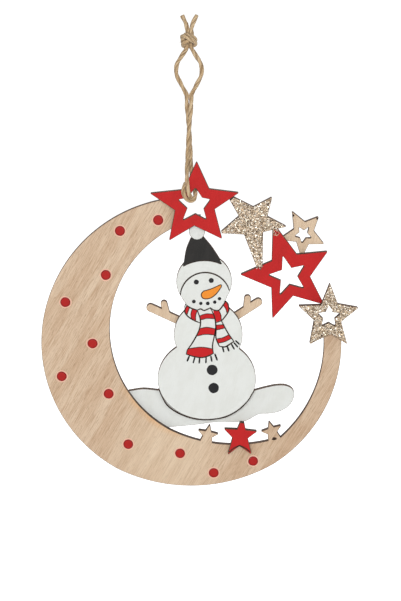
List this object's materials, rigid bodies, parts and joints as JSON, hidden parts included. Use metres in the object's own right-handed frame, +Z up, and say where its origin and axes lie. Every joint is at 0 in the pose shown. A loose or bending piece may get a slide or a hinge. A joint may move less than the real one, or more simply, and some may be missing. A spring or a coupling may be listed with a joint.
{
  "type": "hanging wooden christmas ornament",
  "caption": "Flat laser-cut plywood christmas ornament: crescent moon holding a painted snowman on a snow drift and a chain of stars, hung on a knotted jute twine loop.",
  "frame": {"origin": "where a hook or twig bears inside the twine's eye, just under its knot", "axes": "+Z up, +X to the viewer's right, the painted front faces -Y and the bare back faces +Y"},
  "size_m": [0.1003, 0.008, 0.1508],
  "materials": {
    "natural_plywood": "bare sanded plywood, fine grain, laser-browned edges",
    "red_paint": "satin red paint on the front face, bare back",
    "white_paint": "matt off-white paint on the front face, bare back",
    "glitter": "champagne glitter on the front face, bare back",
    "jute_twine": "two-ply natural jute"
  },
  "bodies": {
    "hanging_loop": {"twine_knot": "jute_twine", "twine_eye_left": "jute_twine", "twine_eye_right": "jute_twine"},
    "twine_legs": {"twine_leg_front": "jute_twine", "twine_leg_rear": "jute_twine"},
    "ornament": {"twine_round_turn": "jute_twine", "crescent_moon": "natural_plywood", "snowman_figure": "white_paint", "left_twig_arm": "natural_plywood", "right_twig_arm": "natural_plywood", "snow_drift": "white_paint", "top_red_star": "red_paint", "large_glitter_star": "glitter", "large_red_star": "red_paint", "natural_star": "natural_plywood", "small_glitter_star": "glitter", "small_red_star": "red_paint"}
  },
  "joints": [
    {"name": "swing", "type": "hinge", "parent": "hanging_loop", "child": "twine_legs", "pos_m": [0, 0, -0.014], "axis": [1, 0, 0], "range_deg": [-45, 45]},
    {"name": "spin", "type": "hinge", "parent": "twine_legs", "child": "ornament", "pos_m": [0, 0, -0.0321], "axis": [0, 0, 1], "range_deg": [-120, 120], "stiffness_Nm_per_rad": 0.0001}
  ]
}
